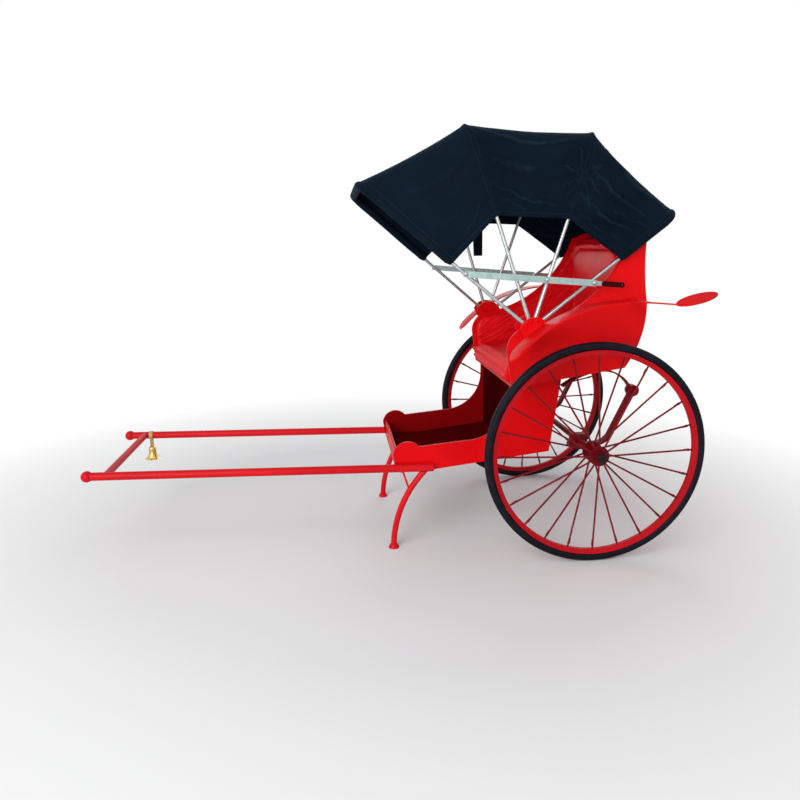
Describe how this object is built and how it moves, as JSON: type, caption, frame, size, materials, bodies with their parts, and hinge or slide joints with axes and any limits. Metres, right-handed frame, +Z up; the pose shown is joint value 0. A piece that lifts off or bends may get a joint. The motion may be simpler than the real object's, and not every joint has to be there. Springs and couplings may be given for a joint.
{
  "type": "pulled rickshaw",
  "caption": "Hand-pulled rickshaw: red tub body on large wire wheels, padded seat, shafts joined by a crossbar, bowed front legs, brass bell and a folding cloth hood on metal bows.",
  "frame": {"origin": "on the ground under the middle of the overall length and width", "axes": "+X to the rear, +Y to the vehicle's right, +Z up"},
  "size_m": [2.3888, 1.124, 1.6484],
  "materials": {
    "paint_red": "gloss red enamel",
    "tyre_black": "matte black rubber",
    "vinyl_red": "soft gloss red vinyl",
    "cloth_navy": "matte blue-black coated cloth",
    "galvanised": "bright galvanised steel",
    "grip_dark": "gloss black-red enamel",
    "brass": "polished brass",
    "strap_tan": "tan strap",
    "nut_dark": "dark enamel"
  },
  "bodies": {
    "chassis": {"arm_lining_left": "vinyl_red", "arm_lining_right": "vinyl_red", "axle": "paint_red", "axle_clamp_left": "paint_red", "axle_clamp_right": "paint_red", "axle_nuts": "nut_dark", "back_panel": "paint_red", "backrest_pad": "vinyl_red", "bell": "brass", "bell_strap": "strap_tan", "crossbar": "paint_red", "fender_left": "paint_red", "fender_right": "paint_red", "footwell_floor": "paint_red", "footwell_side_left": "paint_red", "footwell_side_right": "paint_red", "front_board": "paint_red", "hood_bow_rear": "galvanised", "hood_bracket_left": "paint_red", "hood_bracket_right": "paint_red", "leg_left": "paint_red", "leg_right": "paint_red", "riser_front": "paint_red", "riser_rear": "paint_red", "seat_board": "paint_red", "seat_cushion": "vinyl_red", "seat_side_left": "paint_red", "seat_side_right": "paint_red", "shaft_left": "paint_red", "shaft_right": "paint_red", "spring_left": "paint_red", "spring_right": "paint_red"},
    "wheel_left": {"hub_left": "paint_red", "rim_left": "paint_red", "spokes_left": "paint_red", "tyre_left": "tyre_black"},
    "wheel_right": {"hub_right": "paint_red", "rim_right": "paint_red", "spokes_right": "paint_red", "tyre_right": "tyre_black"},
    "hood_third": {"hood_bow_third": "galvanised", "hood_cloth_rear": "cloth_navy"},
    "hood_second": {"hood_bow_second": "galvanised", "hood_cloth_top": "cloth_navy"},
    "hood_front": {"hood_bow_front": "galvanised", "hood_cloth_front": "cloth_navy"},
    "stay_rear_left": {"stay_grip_left": "grip_dark", "stay_rear_link_left": "galvanised"},
    "stay_rear_right": {"stay_grip_right": "grip_dark", "stay_rear_link_right": "galvanised"},
    "stay_front_left": {"stay_front_link_left": "galvanised"},
    "stay_front_right": {"stay_front_link_right": "galvanised"}
  },
  "joints": [
    {"name": "wheel_left_spin", "type": "hinge", "parent": "chassis", "child": "wheel_left", "pos_m": [0.75388, -0.49, 0.425], "axis": [0, 1, 0], "continuous": true},
    {"name": "wheel_right_spin", "type": "hinge", "parent": "chassis", "child": "wheel_right", "pos_m": [0.75388, 0.49, 0.425], "axis": [0, 1, 0], "continuous": true},
    {"name": "hood_fold", "type": "hinge", "parent": "chassis", "child": "hood_third", "pos_m": [0.53188, 0, 0.88], "axis": [0, 1, 0], "range_deg": [0, 25], "deforming": ["hood_cloth_rear"]},
    {"name": "hood_second_fold", "type": "hinge", "parent": "hood_third", "child": "hood_second", "pos_m": [0.53188, 0, 0.88], "axis": [0, 1, 0], "range_deg": [0, 25], "deforming": ["hood_cloth_top"]},
    {"name": "hood_front_fold", "type": "hinge", "parent": "hood_second", "child": "hood_front", "pos_m": [0.53188, 0, 0.88], "axis": [0, 1, 0], "range_deg": [0, 25], "deforming": ["hood_cloth_front"]},
    {"name": "stay_rear_left_swing", "type": "hinge", "parent": "chassis", "child": "stay_rear_left", "pos_m": [0.76291, 0, 1.05857], "axis": [0, 1, 0], "range_deg": [0, 184.46]},
    {"name": "stay_front_left_swing", "type": "hinge", "parent": "stay_rear_left", "child": "stay_front_left", "pos_m": [0.58156, 0, 1.07392], "axis": [0, 1, 0], "range_deg": [-159.04, 0]},
    {"name": "stay_rear_right_swing", "type": "hinge", "parent": "chassis", "child": "stay_rear_right", "pos_m": [0.76291, 0, 1.05857], "axis": [0, 1, 0], "range_deg": [0, 184.46]},
    {"name": "stay_front_right_swing", "type": "hinge", "parent": "stay_rear_right", "child": "stay_front_right", "pos_m": [0.58156, 0, 1.07392], "axis": [0, 1, 0], "range_deg": [-159.04, 0]}
  ],
  "couplings": [
    {"joint": "hood_second_fold", "follows": "hood_fold", "ratio": 1},
    {"joint": "hood_front_fold", "follows": "hood_fold", "ratio": 1},
    {"joint": "stay_rear_left_swing", "follows": "hood_fold", "ratio": 7.3765},
    {"joint": "stay_front_left_swing", "follows": "hood_fold", "ratio": -6.3595},
    {"joint": "stay_rear_right_swing", "follows": "hood_fold", "ratio": 7.3765},
    {"joint": "stay_front_right_swing", "follows": "hood_fold", "ratio": -6.3595}
  ]
}
